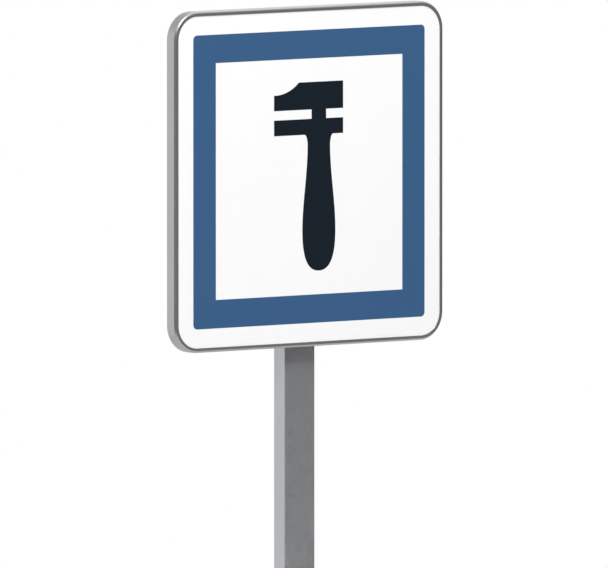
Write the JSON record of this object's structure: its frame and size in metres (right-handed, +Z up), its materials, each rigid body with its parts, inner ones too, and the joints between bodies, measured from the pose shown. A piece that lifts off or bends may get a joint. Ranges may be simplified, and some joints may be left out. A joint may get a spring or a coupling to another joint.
{
  "type": "road information sign",
  "caption": "Square framed road information sign with a blue border and a black spanner symbol, clamped by rails to a rectangular steel post.",
  "frame": {"origin": "middle of the post's open lower end", "axes": "+Z up along the post, -Y out of the sign's face, +X to the right of someone reading the face"},
  "size_m": [0.72, 0.0777, 2.06],
  "materials": {
    "galvanised_steel": "hot-dip galvanised, matt grey",
    "zinc_steel": "bright zinc plated",
    "aluminium": "satin mill finish",
    "white_film": "smooth reflective film",
    "blue_film": "smooth transparent film over the reflective film",
    "black_film": "smooth matt film",
    "plastic": "fine moulded grain",
    "tape": "matt foam tape"
  },
  "bodies": {
    "root": {"post": "galvanised_steel", "post_cap": "plastic", "edge_profile": "aluminium", "joint_angle": "aluminium", "joint_rivets": "zinc_steel", "face_sheet": "aluminium", "white_film": "white_film", "blue_border": "blue_film", "spanner_symbol": "black_film", "upper_rail": "aluminium", "lower_rail": "aluminium", "upper_rail_tape": "tape", "lower_rail_tape": "tape", "upper_left_bracket": "zinc_steel", "upper_right_bracket": "zinc_steel", "lower_left_bracket": "zinc_steel", "lower_right_bracket": "zinc_steel", "bracket_rivets": "zinc_steel", "upper_clamp": "galvanised_steel", "lower_clamp": "galvanised_steel", "clamp_bolts": "zinc_steel", "clamp_washers": "zinc_steel", "clamp_nuts": "zinc_steel"}
  },
  "joints": []
}
